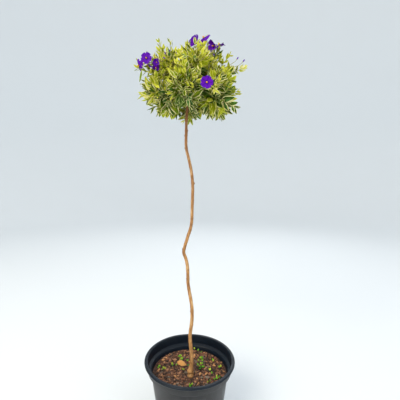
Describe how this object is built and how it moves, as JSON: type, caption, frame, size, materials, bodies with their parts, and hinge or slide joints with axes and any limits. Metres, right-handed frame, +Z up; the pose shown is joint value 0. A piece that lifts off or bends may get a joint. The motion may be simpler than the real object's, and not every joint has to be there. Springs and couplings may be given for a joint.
{
  "type": "standard lollipop topiary of variegated potato bush in a nursery pot",
  "caption": "Slim wavy bare stem with a loose round head of cream-edged leaves and violet flowers, standing in a round black nursery pot of bark compost.",
  "frame": {"origin": "middle of the pot's flat underside, where the plant stands", "axes": "+Z up along the stem, +X to the plant's right, -Y to its front"},
  "size_m": [0.302, 0.2659, 1.028],
  "materials": {
    "pot": "moulded black polypropylene, slightly shiny on its lip",
    "compost": "damp bark chips and peat",
    "bark": "pale tan bark, finely fissured, with bud scars",
    "lower_leaves": "mid-green leaves with cream edges",
    "upper_leaves": "young lime-green leaves with cream edges",
    "flowers": "violet petals with a yellow eye"
  },
  "bodies": {
    "root": {"pot": "pot", "compost": "compost", "stem": "bark", "bough_lower_1": "bark", "head_lower_1": "lower_leaves", "bough_lower_2": "bark", "head_lower_2": "lower_leaves", "bough_lower_3": "bark", "head_lower_3": "lower_leaves", "bough_lower_4": "bark", "head_lower_4": "lower_leaves", "bough_lower_5": "bark", "head_lower_5": "lower_leaves", "bough_lower_6": "bark", "head_lower_6": "lower_leaves", "bough_upper_1": "bark", "head_upper_1": "upper_leaves", "bough_upper_2": "bark", "head_upper_2": "upper_leaves", "bough_upper_3": "bark", "head_upper_3": "upper_leaves", "bough_upper_4": "bark", "head_upper_4": "upper_leaves"}
  },
  "joints": []
}
